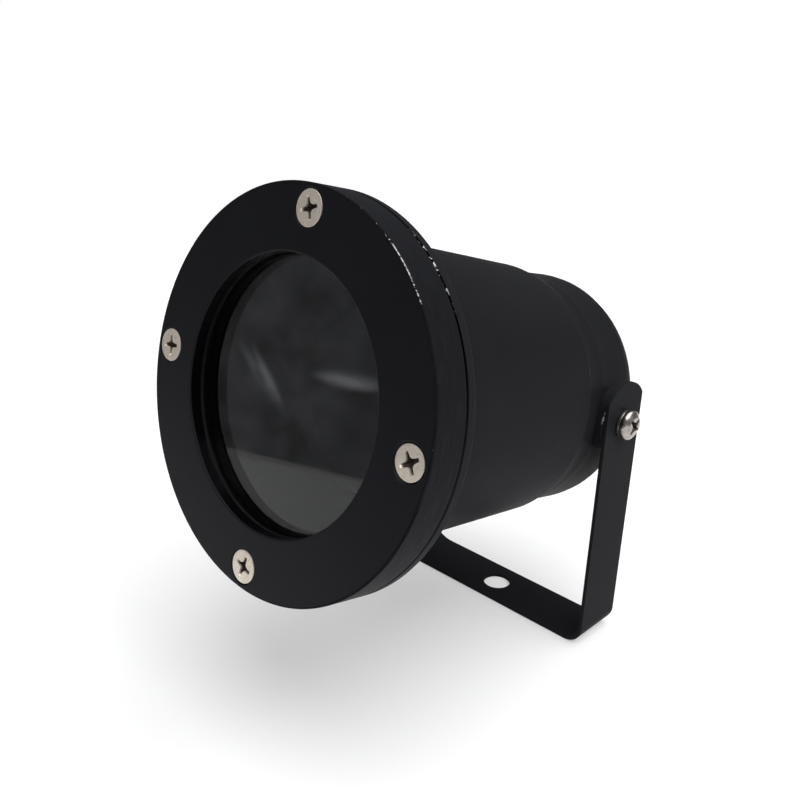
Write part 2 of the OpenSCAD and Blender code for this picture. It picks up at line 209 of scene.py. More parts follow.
def lathe(name, outline, segments=192, closed=True):
    """Revolves (radius, height) points in mm about Z. An open outline has its ends on the axis."""
    bm = bmesh.new()
    rings = []
    for radius, height in outline:
        count = 1 if radius < 1e-6 else segments
        rings.append([
            bm.verts.new((radius * MM * math.cos(math.tau * k / segments),
                          radius * MM * math.sin(math.tau * k / segments), height * MM))
            for k in range(count)])
    pairs = list(zip(rings, rings[1:]))
    if closed:
        pairs.append((rings[-1], rings[0]))
    for low, high in pairs:
        for k in range(segments):
            corners = [low[k % len(low)], low[(k + 1) % len(low)],
                       high[(k + 1) % len(high)], high[k % len(high)]]
            unique = list(dict.fromkeys(corners))
            if len(unique) > 2:
                bm.faces.new(unique)
    return from_bmesh(name, bm)


def loft(name, rings):
    """Closed solid through rings of equal length, with flat ends."""
    bm = bmesh.new()
    made = [[bm.verts.new(Vector(p) * MM) for p in ring] for ring in rings]
    for low, high in zip(made, made[1:]):
        for k in range(len(low)):
            n = (k + 1) % len(low)
            bm.faces.new((low[k], low[n], high[n], high[k]))
    bm.faces.new(made[0])
    bm.faces.new(made[-1])
    return from_bmesh(name, bm)


def prism(name, outline, z0, z1):
    """Extrudes an (x, y) outline in mm from z0 to z1."""
    return loft(name, [[(x, y, z) for x, y in outline] for z in (z0, z1)])


def bake(obj):
    """Applies every modifier."""
    bpy.context.view_layer.update()
    graph = bpy.context.evaluated_depsgraph_get()
    mesh = bpy.data.meshes.new_from_object(obj.evaluated_get(graph))
    obj.modifiers.clear()
    obj.data = mesh


def combine(obj, tool, operation="DIFFERENCE"):
    """Booleans tool into obj and deletes the tool."""
    modifier = obj.modifiers.new("combine", "BOOLEAN")
    modifier.operation = operation
    modifier.solver = "EXACT"
    modifier.object = tool
    bake(obj)
    bpy.data.objects.remove(tool)
    return obj


def join(obj, others):
    """Adds the other objects' meshes to obj as separate shells."""
    bm = bmesh.new()
    bm.from_mesh(obj.data)
    for other in others:
        other.data.transform(other.matrix_basis)
        bm.from_mesh(other.data)
        bpy.data.objects.remove(other)
    bm.to_mesh(obj.data)
    bm.free()
    return obj


def moved(obj, matrix):
    """Turns and shifts the mesh, and returns the object."""
    obj.data.transform(matrix)
    return obj


def shift(x, y, z):
    """Translation by millimetres."""
    return Matrix.Translation(Vector((x, y, z)) * MM)


def smooth(obj, angle):
    """Smooth shading that keeps corners sharp and flat faces flat."""
    obj.data.shade_smooth()
    obj.data.set_sharp_from_angle(angle=math.radians(angle))
    modifier = obj.modifiers.new("flat_faces", "WEIGHTED_NORMAL")
    modifier.keep_sharp = True
    modifier.weight = 100


def bevel(obj, width, angle=40):
    """Rounds the edges that turn by more than angle degrees, width in mm."""
    modifier = obj.modifiers.new("edges", "BEVEL")
    modifier.width = width * MM
    modifier.segments = 2
    modifier.limit_method = "ANGLE"
    modifier.angle_limit = math.radians(angle)
    modifier.use_clamp_overlap = True
    bake(obj)


def fit(obj, body, material, nodes=(), matrix=None, angle=32):
    """Finishes a piece: shading, material, place, body and the CAD nodes it stands for."""
    smooth(obj, angle)
    obj.data.materials.clear()
    obj.data.materials.append(material)
    if matrix is not None:
        obj.matrix_world = matrix
        bpy.context.view_layer.update()
    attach(obj, body)
    if nodes:
        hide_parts(*nodes)
    return obj


# --- material helpers --------------------------------------------------------

class Graph:
    """Short calls for building a shader from nodes. Values may be numbers or sockets."""

    def __init__(self, owner, kind="ShaderNodeBsdfPrincipled", output="ShaderNodeOutputMaterial",
                 place="Object"):
        """Clears the node tree of a material or world and puts its shader in."""
        self.owner = owner
        owner.use_nodes = True
        self.tree = owner.node_tree
        self.tree.nodes.clear()
        self.shader = self.tree.nodes.new(kind)
        end = self.tree.nodes.new(output)
        self.tree.links.new(self.shader.outputs[0], end.inputs["Surface"])
        self.place = self.tree.nodes.new("ShaderNodeTexCoord").outputs[place]

    def feed(self, socket, value):
        if isinstance(value, bpy.types.NodeSocket):
            self.tree.links.new(value, socket)
        else:
            socket.default_value = value

    def math(self, operation, a, b=0.0):
        node = self.tree.nodes.new("ShaderNodeMath")
        node.operation = operation
        self.feed(node.inputs[0], a)
        self.feed(node.inputs[1], b)
        return node.outputs[0]

    def times(self, first, *others):
        for other in others:
            first = self.math("MULTIPLY", first, other)
        return first

    def plus(self, a, b):
        return self.math("ADD", a, b)

    def apart(self, a, b):
        """Distance between two numbers."""
        return self.math("ABSOLUTE", self.math("SUBTRACT", a, b))

    def length(self, a, b):
        return self.math("SQRT", self.plus(self.times(a, a), self.times(b, b)))

    def noise(self, scale, detail=2.0, roughness=0.5, vector=None):
        node = self.tree.nodes.new("ShaderNodeTexNoise")
        self.feed(node.inputs["Vector"], vector or self.place)
        node.inputs["Scale"].default_value = scale
        node.inputs["Detail"].default_value = detail
        node.inputs["Roughness"].default_value = roughness
        return node.outputs["Fac"]

    def cells(self, scale):
        """Distance to the nearest cell's point, and that cell's random colour."""
        node = self.tree.nodes.new("ShaderNodeTexVoronoi")
        self.feed(node.inputs["Vector"], self.place)
        node.inputs["Scale"].default_value = scale
        return node.outputs["Distance"], node.outputs["Color"]

    def span(self, value, low, high, to_low=0.0, to_high=1.0):
        """Maps low..high smoothly to to_low..to_high, clamped."""
        node = self.tree.nodes.new("ShaderNodeMapRange")
        node.interpolation_type = "SMOOTHSTEP"
        self.feed(node.inputs["Value"], value)
        node.inputs["From Min"].default_value = low
        node.inputs["From Max"].default_value = high
        node.inputs["To Min"].default_value = to_low
        node.inputs["To Max"].default_value = to_high
        return node.outputs["Result"]

    def fall(self, value, low, high):
        """1 up to low, 0 from high on."""
        return self.span(value, low, high, 1.0, 0.0)

    def mix(self, factor, a, b):
        """Mix of two colours."""
        node = self.tree.nodes.new("ShaderNodeMix")
        node.data_type = "RGBA"
        self.feed(node.inputs["Factor"], factor)
        for socket, value in ((node.inputs["A"], a), (node.inputs["B"], b)):
            self.feed(socket, value if isinstance(value, bpy.types.NodeSocket) else (*value, 1.0))
        return node.outputs["Result"]

    def blend(self, factor, a, b):
        """Mix of two numbers."""
        node = self.tree.nodes.new("ShaderNodeMix")
        self.feed(node.inputs["Factor"], factor)
        self.feed(node.inputs["A"], a)
        self.feed(node.inputs["B"], b)
        return node.outputs["Result"]

    def axes(self):
        """The object's own x, y and z in mm."""
        scaled = self.tree.nodes.new("ShaderNodeVectorMath")
        scaled.operation = "MULTIPLY"
        self.feed(scaled.inputs[0], self.place)
        scaled.inputs[1].default_value = (1 / MM,) * 3
        node = self.tree.nodes.new("ShaderNodeSeparateXYZ")
        self.feed(node.inputs[0], scaled.outputs[0])
        return node.outputs

    def polar(self):
        """Radius in mm, angle in radians and height in mm about the object's z."""
        x, y, z = self.axes()
        return self.length(x, y), self.math("ARCTAN2", y, x), z

    def vector(self, x, y, z):
        node = self.tree.nodes.new("ShaderNodeCombineXYZ")
        for socket, value in zip(node.inputs, (x, y, z)):
            self.feed(socket, value)
        return node.outputs[0]

    def bump(self, height, strength, distance):
        node = self.tree.nodes.new("ShaderNodeBump")
        node.inputs["Strength"].default_value = strength
        node.inputs["Distance"].default_value = distance
        self.feed(node.inputs["Height"], height)
        return node.outputs["Normal"]

    def finish(self, **inputs):
        """Feeds the shader's inputs and returns the material or world."""
        for name, value in inputs.items():
            self.feed(self.shader.inputs[name.replace("_", " ")], value)
        return self.owner


def arc_mask(g, angle, middle, half, edge):
    """1 within half degrees of the middle angle, falling to 0 over the edge."""
    away = g.apart(angle, math.radians(middle))
    return g.fall(away, math.radians(half - edge), math.radians(half + edge))


def dust(g, scale, amount):
    """A few light specks: one cell in many has a dot in its middle."""
    distance, colour = g.cells(scale)
    chosen = g.tree.nodes.new("ShaderNodeSeparateColor")
    g.feed(chosen.inputs[0], colour)
    picked = g.math("GREATER_THAN", chosen.outputs[0], 1 - amount)
    return g.times(picked, g.fall(distance, 0.03, 0.05))


def coat(name, base, rough=0.46, grain=0.35, sheen=COAT_SHEEN, layers=(), wear_and_highlight=None):
    """Satin black powder coat. Layers change its look in places, some of them painted light and
    shade; the wear mask paints bare metal, which on the ring's front edge is partly a painted
    highlight.
    """
    g = Graph(bpy.data.materials.new(name))
    fine = g.noise(2600, 3, 0.6)
    look = {
        "base": base,
        "colour": g.mix(g.span(g.noise(45), 0.3, 0.7), base, tuple(c * 1.12 for c in base)),
        "rough": g.plus(g.span(g.noise(90), 0.3, 0.7, rough - 0.015, rough + 0.015),
                        g.span(fine, 0.3, 0.7, -0.03, 0.03)),
        "sheen": sheen,
        "height": fine,
    }
    for layer in layers:
        layer(g, look)
    look["colour"] = g.mix(dust(g, 260, 0.035), look["colour"], DUST_GREY)
    metallic = 0.0
    if wear_and_highlight:
        mask = wear_and_highlight(g)
        look["colour"] = g.mix(mask, look["colour"], BARE_METAL_AND_HIGHLIGHT)
        look["rough"] = g.blend(mask, look["rough"], 0.35)
        metallic = g.times(mask, 0.4)
    return g.finish(Base_Color=look["colour"], Roughness=look["rough"], Metallic=metallic,
                    Normal=g.bump(look["height"], grain, 0.00004),
                    Specular_IOR_Level=look["sheen"], Specular_Tint=SHEEN_TINT)


def brushed_side_with_highlight(strength):
    """Layer of turning marks and pits round the outer side, strongest low on the right, with the
    marks painted lighter as a highlight where the side faces the bright table.
    """
    def lay(g, look):
        radius, angle, along = g.polar()
        lines = g.noise(1.0, 4, 0.65, g.vector(g.times(angle, 7.0), g.times(along, 2.6),
                                               g.times(radius, 2.6)))
        pits = g.fall(g.cells(420)[0], 0.05, 0.12)
        outer = g.span(radius, RING_R - 0.45, RING_R - 0.25)
        low = g.plus(g.times(arc_mask(g, angle, -45, 40, 25), 0.6), 0.4)
        side = g.times(outer, g.times(low, strength))
        # Painted highlight: the marks are painted lighter, most low on the right.
        marks_highlight = tuple(c * 3.2 for c in look["base"])
        look["colour"] = g.mix(g.times(side, g.span(lines, 0.42, 0.7)), look["colour"], marks_highlight)
        marks = g.plus(look["height"], g.times(side, g.times(lines, 2.5)))
        look["height"] = g.math("SUBTRACT", marks, g.times(pits, side))
        look["sheen"] = g.blend(outer, look["sheen"], SIDE_SHEEN)
    return lay


def dull_edge_and_seam_shade(g, look):
    """Layer that dulls the front edge and paints shade into the seam between ring and flange,
    weaker low on the right.
    """
    radius, angle, along = g.polar()
    edge = g.times(g.span(radius, RING_R - 0.55, RING_R - 0.35),
                   g.span(along, FACE_S - 0.55, FACE_S - 0.35))
    seam_shade = g.times(g.fall(g.apart(along, SEAM_S), 0.2, 0.42),
                   g.span(angle, math.radians(-10), math.radians(25), 0.3, 1.0))
    look["colour"] = g.mix(seam_shade, look["colour"], SEAM_SHADE_BLACK)
    look["sheen"] = g.blend(seam_shade, g.blend(edge, look["sheen"], 0.01), 0.0)


def smooth_bore_with_shade(g, look):
    """Layer of painted shade on the wall of the ring's opening: a deeper black, with a smoother
    coat.
    """
    radius, _, along = g.polar()
    bore = g.times(g.fall(radius, OPEN_R + 0.55, OPEN_R + 0.7),
                   g.fall(along, FACE_S - 0.35, FACE_S - 0.2))
    look["colour"] = g.mix(bore, look["colour"], BORE_SHADE_BLACK)
    look["sheen"] = g.blend(bore, look["sheen"], 0.08)
    look["rough"] = g.blend(bore, look["rough"], 0.16)


def dull_step(g, look):
    """Layer that takes the sheen off the shallow cone behind the barrel's step."""
    along = g.axes()[2]
    ramp = g.times(g.span(along, STEP_S - STEP_L - 3, STEP_S - STEP_L),
                   g.fall(along, STEP_S - 0.6, STEP_S - 0.2))
    look["sheen"] = g.blend(ramp, look["sheen"], 0.006)


def painted_inside_shade(g, look):
    """Layer of painted shade on the housing's inner wall: dead black."""
    radius, _, along = g.polar()
    rear = REAR_S + REAR_EDGE_R
    inside = g.times(g.fall(radius, BORE_FRONT_R + 0.3, BORE_FRONT_R + 0.8),
                     g.span(along, rear, rear + 0.5))
    look["colour"] = g.mix(inside, look["colour"], INSIDE_SHADE_BLACK)


def ring_wear_and_highlight(g):
    """Bare metal along the front edge, mostly on the upper right: partly wear, partly a painted
    highlight where the edge catches the light.
    """
    radius, angle, along = g.polar()
    corner = g.times(g.span(radius, RING_R - 0.30, RING_R - 0.17),
                     g.span(along, FACE_S - 0.32, FACE_S - 0.17))
    patches = g.noise(1.0, 4, 0.7, g.vector(g.times(angle, 38.0), along, radius))
    highlight_arcs = g.plus(g.times(arc_mask(g, angle, 47, 10, 5), 0.22),
                  g.times(arc_mask(g, angle, 63, 12, 6), 0.04))
    return g.times(corner, g.span(g.plus(patches, highlight_arcs), 0.66, 0.74))


def flange_wear(g):
    """Chipped dashes on the flange's front edge, next to the seam."""
    radius, angle, along = g.polar()
    corner = g.times(g.span(radius, RING_R - 0.35, RING_R - 0.2),
                     g.span(along, SEAM_S - 0.38, SEAM_S - 0.24))
    patches = g.noise(1.0, 3, 0.6, g.vector(g.times(angle, 34.0), along, radius))
    worn = g.times(g.span(g.plus(patches, 0.09), 0.62, 0.68), arc_mask(g, angle, 49, 9, 5))
    return g.math("MAXIMUM", g.times(corner, worn), boss_wear(g))


def boss_wear(g):
    """A chipped line on the rim of the +X pivot boss, on the side towards the ring."""
    x, across, along = g.axes()
    rim = g.times(g.span(x, BOSS_X - 0.5, BOSS_X - 0.3),
                  g.fall(g.apart(g.length(across, along), BOSS_R), 0.3, 0.45))
    stretch = arc_mask(g, g.math("ARCTAN2", across, along), 10, 10, 3)
    return g.times(rim, stretch, g.span(g.noise(900, 3, 0.6), 0.42, 0.52))


def nickel(name, base, rough=0.3, metallic=1.0, face=None):
    """Bright nickel plate. Below face (mm along z) the driver recess is duller and browner."""
    g = Graph(bpy.data.materials.new(name))
    streaks = g.noise(5200, 3, 0.6)
    cloud = g.noise(700, 3)
    colour = g.mix(g.span(cloud, 0.35, 0.7), base, tuple(c * 0.82 for c in base))
    roughness = g.span(g.plus(streaks, cloud), 0.7, 1.3, rough - 0.06, rough + 0.1)
    if face is not None:
        radius, _, along = g.polar()
        depth = g.times(g.fall(along, face - 0.7, face - 0.06),
                        g.span(along, face - 2.8, face - 2.3))
        deep = g.times(depth, g.fall(radius, 2.6, 2.8))
        colour = g.mix(deep, colour, RECESS_BROWN)
        roughness = g.blend(deep, roughness, 0.5)
    return g.finish(Base_Color=colour, Metallic=metallic, Roughness=roughness,
                    Normal=g.bump(streaks, 0.25, 0.00003))


def plain(name, base, rough=0.5, metallic=0.0, grain=0.2, scale=1500, spread=0.15, sheen=0.5):
    """Moulded or sheet material with mottled colour, uneven gloss and a fine grain."""
    g = Graph(bpy.data.materials.new(name))
    fine = g.noise(scale, 3, 0.6)
    broad = g.noise(scale / 12, 3)
    colour = g.mix(g.span(broad, 0.3, 0.7), base, tuple(c * (1 - spread) for c in base))
    roughness = g.span(g.plus(fine, broad), 0.6, 1.4, rough - 0.07, rough + 0.07)
    return g.finish(Base_Color=colour, Metallic=metallic, Roughness=roughness,
                    Normal=g.bump(fine, grain, 0.00005), Specular_IOR_Level=sheen)


def clear(name):
    """Clear glass with a trace of smear."""
    g = Graph(bpy.data.materials.new(name))
    smear = g.noise(90, 4, 0.6)
    return g.finish(Base_Color=GLASS_TINT, Transmission_Weight=1.0, IOR=1.5,
                    Roughness=g.span(smear, 0.4, 0.75, 0.01, 0.05))


# --- pieces: front -----------------------------------------------------------

def screw_spots():
    """Number and place of each ring screw, in the head's axes."""
    for k in range(4):
        angle = math.pi / 2 + SCREW_TURN + k * math.pi / 2
        spot = Vector((math.cos(angle), math.sin(angle), 0)) * SCREW_CIRCLE_R
        yield k, Matrix.Translation(spot * MM)


def countersink():
    """Cutter for a countersunk hole, its mouth on the ring's face."""
    gap = 0.25
    outer = SCREW_HEAD_R + gap
    depth = outer - SCREW_R
    return lathe("countersink", [
        (0, FACE_S + 1), (outer + 0.12, FACE_S + 1), (outer + 0.12, FACE_S), (outer, FACE_S - 0.1),
        (SCREW_R + 0.25, FACE_S - depth - 0.05), (SCREW_R + 0.25, SEAM_S - 1), (0, SEAM_S - 1)],
        segments=64, closed=False)


def front_ring(material):
    glass_s = GLASS_HIGH.z
    ring = lathe("ring_casting", soften([
        (RING_R, SEAM_S + 0.08, 0.5),
        (RING_R, FACE_S, 0.5),
        (OPEN_R, FACE_S, 0.45),
        (OPEN_R, glass_s + 1.0, 0.25), (SEAT_R, glass_s + 1.0, 0), (SEAT_R, SEAM_S + 0.08, 0)],
        steps=5), segments=256)
    for _, spot in screw_spots():
        combine(ring, moved(countersink(), spot))
    return fit(ring, "head", material, ["front_ring"], HEAD)


def cross_outline(reach, half, pinch=0.75):
    """Outline of a cross with slightly narrowing wings and soft inner corners."""
    points = []
    for k in range(4):
        turn = Matrix.Rotation(k * math.pi / 2, 2)
        wing = [(half * 1.25, half * 1.6), (half, half * 1.6 + 0.25), (half * pinch, reach - 0.1),
                (half * pinch * 0.7, reach), (-half * pinch * 0.7, reach),
                (-half * pinch, reach - 0.1), (-half, half * 1.6 + 0.25),
                (-half * 1.25, half * 1.6)]
        points += [turn @ Vector(p) for p in wing]
    return [(p.x, p.y) for p in points]


def driver_recess(top, reach=2.5, half=0.54, depth=1.9):
    """Tapered cross cutter going down from height top."""
    levels = ((0.4, 1.05, 1.1), (0.0, 1.0, 1.0), (-0.7, 0.82, 0.86), (-1.3, 0.6, 0.72),
              (-depth, 0.3, 0.5))  # height, share of the reach and of the half width
    return loft("driver_recess", [
        [(x, y, top + z) for x, y in cross_outline(reach * wide, half * thin)]
        for z, wide, thin in levels])


def threaded(start, end, radius=SCREW_R, pitch=0.7, depth=0.38):
    """Outline points of a thread's crests and roots between two heights, going down."""
    count = int(abs(start - end) / pitch)
    points = []
    for k in range(count):
        height = start - k * pitch
        points += [(radius - depth, height - pitch * 0.1), (radius, height - pitch * 0.45),
                   (radius, height - pitch * 0.6)]
    return points


def csk_screw(name, spin, head_r):
    """Countersunk cross-head screw whose head's top is at z = 0."""
    cone_end = head_r - SCREW_R + 0.2
    body = soften([(0, 0.0, 0), (head_r, -0.02, 0.16), (head_r, -0.28, 0.06),
                   (SCREW_R, -cone_end, 0.2), (SCREW_R, -4.2, 0)], closed=False)
    body += threaded(-4.3, -11.4) + [(SCREW_R - 0.4, -11.6), (SCREW_R - 0.8, -12.0), (0, -12.0)]
    screw = lathe(name, body, segments=72, closed=False)
    combine(screw, driver_recess(0.0))
    return moved(screw, Matrix.Rotation(spin, 4, "Z"))


def ring_screws(material):
    """A head that is a little smaller sits deeper in its countersink."""
    spins = (0.32, 0.12, -0.28, 0.58)
    heads = (SCREW_HEAD_R, SCREW_HEAD_R, SCREW_HEAD_R - 0.08, SCREW_HEAD_R - 0.22)
    for (k, spot), spin, head_r in zip(screw_spots(), spins, heads):
        screw = csk_screw(f"ring_screw_{k + 1}", spin, head_r)
        fit(screw, "head", material, ["ring_screws"],
            HEAD @ spot @ shift(0, 0, FACE_S + 0.7 * (head_r - SCREW_HEAD_R)), angle=28)


def washer_disc(inner, outer, low, high, soft=0.12):
    """Outline of a flat ring with rounded edges."""
    corners = ((inner, low), (outer, low), (outer, high), (inner, high))
    return soften([(*corner, soft) for corner in corners], steps=3)


def glass_and_gaskets(glass, rubber):
    r = GLASS_HIGH.x
    low, high = GLASS_LOW.z, GLASS_HIGH.z
    disc = lathe("glass_disc", soften([
        (0, low, 0), (r, low, 0.45), (r, high, 0.45), (0, high, 0)], closed=False, steps=3),
        segments=160, closed=False)
    fit(disc, "head", glass, ["lens_glass"], HEAD)
    front = lathe("gasket_front", washer_disc(OPEN_R + 0.25, SEAT_R - 0.1, high, high + 1.0))
    fit(front, "head", rubber, ["front_gasket"], HEAD)
    rear = lathe("gasket_rear", washer_disc(REAR_GASKET_R, SEAT_R - 0.1, SEAM_S, low))
    fit(rear, "head", rubber, ["rear_gasket"], HEAD)


# --- pieces: housing -----------------------------------------------------------

def boss_outline(start_x, end_x):
    """Pivot boss, flared into the barrel's side, from its inner end to its face."""
    return soften([(0, start_x, 0), (BOSS_R + 1.6, start_x, 0), (BOSS_R + 1.6, REAR_R - 3.2, 0),
                   (BOSS_R, REAR_R - 0.9, 0.8), (BOSS_R, end_x, 0.35),
                   (0, end_x, 0)], closed=False, steps=4)


def housing(material):
    shell = lathe("housing_casting", soften([
        (0, REAR_S, 0), (REAR_R, REAR_S, REAR_EDGE_R), (REAR_R, STEP_S - STEP_L, 52.0),
        (BARREL_REAR_R, STEP_S, 0.5),
        (BARREL_FRONT_R, FLANGE_S, 0.8), (RING_R, FLANGE_S, 0.5), (RING_R, SEAM_S, 0.5),
        (BORE_FRONT_R, SEAM_S, 0.3),
        (BORE_REAR_R, STEP_S, 0.5), (BORE_REAR_R, REAR_INNER_S, REAR_EDGE_R - WALL_T),
        (0, REAR_INNER_S, 0)],
        closed=False, steps=7), segments=224, closed=False)
    for side in (-1, 1):
        turn = Matrix.Rotation(side * math.pi / 2, 4, "Y")
        boss = lathe("boss", boss_outline(24.0, BOSS_X), segments=96, closed=False)
        combine(shell, moved(boss, turn), "UNION")
        hole = lathe("boss_hole", [(0, 26.5), (HOLE_R, 26.5), (HOLE_R, BOSS_X + 1),
                                   (0, BOSS_X + 1)], segments=48, closed=False)
        combine(shell, moved(hole, turn))
    for _, spot in screw_spots():
        hole = lathe("screw_hole", [(0, FLANGE_S - 1), (SCREW_R + 0.3, FLANGE_S - 1),
                                    (SCREW_R + 0.3, FLANGE_S), (SCREW_R + 0.05, FLANGE_S + 0.25),
                                    (SCREW_R + 0.05, SEAM_S + 1), (0, SEAM_S + 1)],
                     segments=40, closed=False)
        combine(shell, moved(hole, spot))
    return fit(shell, "head", material, ["housing"], HEAD, angle=38)


# --- pieces: bracket and pivot -------------------------------------------------

def u_line(x, z, left_r, right_r):
    """Line of a U seen from the front, down the -X side and up the +X side."""
    top = PIVOT_H + STRIP_W
    return soften([(-x, top, 0), (-x, z, left_r), (x, z, right_r), (x, top, 0)], closed=False,
                  steps=16)


def arm_outline():
    """Side view of the bracket as (y, z): straight sides and an arched top."""
    half = STRIP_W / 2
    centre = PIVOT_H + ARM_TOP_H - ARM_TOP_R
    reach = math.asin(half / ARM_TOP_R)
    arch = [(ARM_TOP_R * math.sin(reach * k / 16), centre + ARM_TOP_R * math.cos(reach * k / 16))
            for k in range(-16, 17)]
    corners = [(half, -1, 0), (-half, -1, 0), (*arch[0], 0.5)]
    return soften(corners + [(y, z, 0) for y, z in arch[1:-1]] + [(*arch[-1], 0.5)], steps=3)


def bracket(material):
    outer = u_line(ARM_OUT_X, 0, BEND_LEFT_R + STRIP_T, BEND_R + STRIP_T)
    inner = u_line(ARM_OUT_X - STRIP_T, STRIP_T, BEND_LEFT_R, BEND_R)[::-1]
    strip = prism("bracket_strip", outer + inner, -STRIP_W / 2, STRIP_W / 2)
    moved(strip, Matrix.Rotation(math.pi / 2, 4, "X"))
    keep = prism("arm_ends", [(-z, y) for y, z in arm_outline()], -ARM_OUT_X - 1, ARM_OUT_X + 1)
    moved(keep, Matrix.Rotation(math.pi / 2, 4, "Y"))
    combine(strip, keep, "INTERSECT")
    hole = lathe("base_hole", [(0, -1), (BASE_HOLE_R, -1), (BASE_HOLE_R, 3), (0, 3)],
                 segments=64, closed=False)
    combine(strip, hole)
    pivot_hole = lathe("pivot_hole", [(0, -40), (HOLE_R, -40), (HOLE_R, 40), (0, 40)],
                       segments=48, closed=False)
    moved(pivot_hole, shift(0, 0, PIVOT_H) @ Matrix.Rotation(math.pi / 2, 4, "Y"))
    combine(strip, pivot_hole)
    bevel(strip, 0.22, angle=50)
    return fit(strip, "bracket", material, ["mounting_bracket"], angle=30)


def pan_screw(name, spin):
    """Pan-head cross-head screw standing on z = 0, its shank going down."""
    r, h = PAN_HEAD_R, PAN_HEAD_H
    head = soften([(0, h, 0), (r * 0.62, h * 0.97, 0.6), (r, h * 0.55, 1.0), (r, 0, 0.15),
                   (SCREW_R + 0.1, 0, 0), (SCREW_R, -0.1, 0)], closed=False, steps=6)
    outline = head + threaded(-1.5, -9.4) + [(SCREW_R - 0.5, -10), (0, -10)]
    screw = lathe(name, outline, segments=80, closed=False)
    combine(screw, driver_recess(h, reach=2.5, half=0.6, depth=1.8))
    return moved(screw, Matrix.Rotation(spin, 4, "Z"))


def spring_washer(name, start):
    """Split lock washer: one square turn whose ends stand a little apart."""
    inner, outer, t = 2.15, 3.6, WASHER_T * 0.82
    rise = WASHER_T - t
    gap = 0.2
    steps = 96
    rings = []
    for k in range(steps + 1):
        angle = start + gap / 2 + (math.tau - gap) * k / steps
        low = rise * k / steps
        section = washer_disc(inner, outer, low, low + t, 0.1)
        rings.append([(r * math.cos(angle), r * math.sin(angle), z) for r, z in section])
    return loft(name, rings)


def pivot_hardware(screw_material, washer_material):
    for side, word, spin in ((-1, "left", 0.5), (1, "right", 0.75)):
        turn = Matrix.Translation(PIVOT) @ Matrix.Rotation(side * math.pi / 2, 4, "Y")
        turn = turn @ shift(0, 0, ARM_OUT_X)
        washer = spring_washer(f"lock_washer_{word}", 1.1)
        fit(washer, "head", washer_material, [f"spring_washer_{word}"], turn)
        screw = pan_screw(f"pan_screw_{word}", spin)
        fit(screw, "head", screw_material, [f"pivot_screw_{word}"],
            turn @ shift(0, 0, WASHER_T), angle=28)


# --- pieces: gland -----------------------------------------------------------

def hex_nut(name, low, high, bore):
    """Hexagon with chamfered corners and a bore."""
    crown = HEX_HALF / math.cos(math.pi / 6)
    corners = [(crown * math.cos(k * math.pi / 3), crown * math.sin(k * math.pi / 3))
               for k in range(6)]
    nut = prism(name, corners, low, high)
    turned = lathe("turned", [(0, low), (HEX_HALF + 0.1, low), (crown + 0.02, low + 0.9),
                              (crown + 0.02, high - 0.9), (HEX_HALF + 0.1, high), (0, high)],
                   segments=96, closed=False)
    combine(nut, turned, "INTERSECT")
    hole = lathe("hole", [(0, low - 1), (bore, low - 1), (bore, high + 1), (0, high + 1)],
                 segments=64, closed=False)
    return combine(nut, hole)


def gland(nylon, rubber):
    low, high = extent("gland_body")
    hex_low = REAR_S - GLAND_SEAL_T - HEX_T
    hex_high = hex_low + HEX_T
    body = hex_nut("gland_hexagon", hex_low, hex_high, COLLET_INNER_R)
    bevel(body, 0.2)
    thread = threaded(REAR_INNER_S + 8.5, REAR_S, 7.95, 1.5, 0.75)[::-1]
    stem = lathe("gland_stem", [(CABLE_R, hex_high - 0.1), (STEM_R, hex_high - 0.1)] + thread
                 + [(7.2, high.z), (CABLE_R, high.z)], segments=96)
    collet = lathe("gland_collet", washer_disc(COLLET_INNER_R, 6.8, low.z, hex_low + 0.1, 0.2),
                   segments=96)
    join(body, [stem, collet])
    fit(body, "head", nylon, ["gland_body"], HEAD)

    nut_low, nut_high = extent("gland_dome_nut")
    hex_start = nut_high.z - 9
    hollow = nut_low.z + 7.4
    dome = lathe("gland_cap", soften([
        (DOME_HOLE_R, nut_low.z, 0.5), (7.6, nut_low.z, 3.4), (DOME_R, hex_start + 0.6, 0.8),
        (DOME_R, hex_start + 2, 0), (NUT_BORE_R, hex_start + 2, 0), (NUT_BORE_R, hollow, 0),
        (DOME_HOLE_R, hollow, 0)], steps=7), segments=96)
    for k in range(12):
        rib = prism("rib", [(8.5, -0.5), (9.4, -0.35), (9.4, 0.35), (8.5, 0.5)],
                    hex_start - 2.8, hex_start + 0.5)
        join(dome, [moved(rib, Matrix.Rotation(k * math.pi / 6, 4, "Z"))])
    cap_hex = hex_nut("cap_hexagon", hex_start, nut_high.z, NUT_BORE_R)
    bevel(cap_hex, 0.25)
    join(dome, [cap_hex])
    fit(dome, "head", nylon, ["gland_dome_nut"], HEAD)

    insert_low, insert_high = extent("gland_insert")
    insert = lathe("gland_sleeve", soften([
        (3.25, insert_low.z, 0.4), (5.1, insert_low.z, 0.6), (5.1, insert_high.z, 0.2),
        (3.25, insert_high.z, 0.2)]), segments=96)
    fit(insert, "head", rubber, ["gland_insert"], HEAD)
    seal = lathe("gland_seal", washer_disc(8.1, 9.7, REAR_S - GLAND_SEAL_T, REAR_S, 0.6),
                 segments=96)
    fit(seal, "head", rubber, ["gland_o_ring"], HEAD)


# --- inner pieces that keep their CAD shape -------------------------------------

